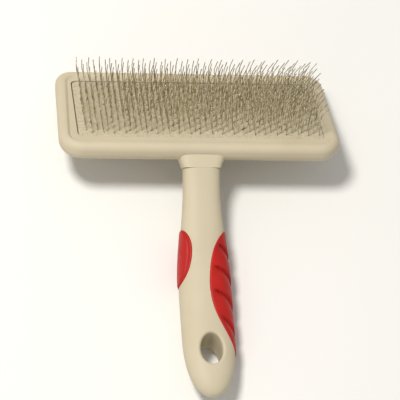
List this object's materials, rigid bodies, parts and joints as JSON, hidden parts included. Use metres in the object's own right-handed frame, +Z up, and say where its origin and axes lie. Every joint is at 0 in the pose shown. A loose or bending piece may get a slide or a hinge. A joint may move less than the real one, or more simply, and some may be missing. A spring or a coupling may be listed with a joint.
{
  "type": "slicker brush",
  "caption": "T-shaped pet slicker brush: a wide moulded head with a field of fine bent wire pins on a cushioned pad, and a curved handle with red rubber grips and a hanging hole.",
  "frame": {"origin": "middle of the brush's outline on the table, on the surface that it lies on with its pins up", "axes": "+X along the head, to the right when the pins face the viewer and the handle points down; +Y from the handle's end towards the head; +Z up, out of the table"},
  "size_m": [0.1162, 0.147, 0.0419],
  "materials": {
    "body_plastic": "satin moulded plastic, warm off-white",
    "grip_rubber": "soft matte red thermoplastic rubber",
    "pad_rubber": "matte light grey-beige rubber-faced cloth",
    "cushion_foam": "matte foam rubber",
    "backing_board": "matte board",
    "pin_wire": "drawn steel wire, satin"
  },
  "bodies": {
    "root": {"finger_grip": "grip_rubber", "handle": "body_plastic", "head_shell": "body_plastic", "pad_backing": "backing_board", "pad_cushion": "cushion_foam", "pad_face": "pad_rubber", "pin_row_01": "pin_wire", "pin_row_02": "pin_wire", "pin_row_03": "pin_wire", "pin_row_04": "pin_wire", "pin_row_05": "pin_wire", "pin_row_06": "pin_wire", "pin_row_07": "pin_wire", "pin_row_08": "pin_wire", "pin_row_09": "pin_wire", "pin_row_10": "pin_wire", "pin_row_11": "pin_wire", "pin_row_12": "pin_wire", "pin_row_13": "pin_wire", "pin_row_14": "pin_wire", "pin_row_15": "pin_wire", "pin_row_16": "pin_wire", "pin_row_17": "pin_wire", "pin_row_18": "pin_wire", "pin_row_19": "pin_wire", "pin_row_20": "pin_wire", "thumb_grip": "grip_rubber"}
  },
  "joints": []
}
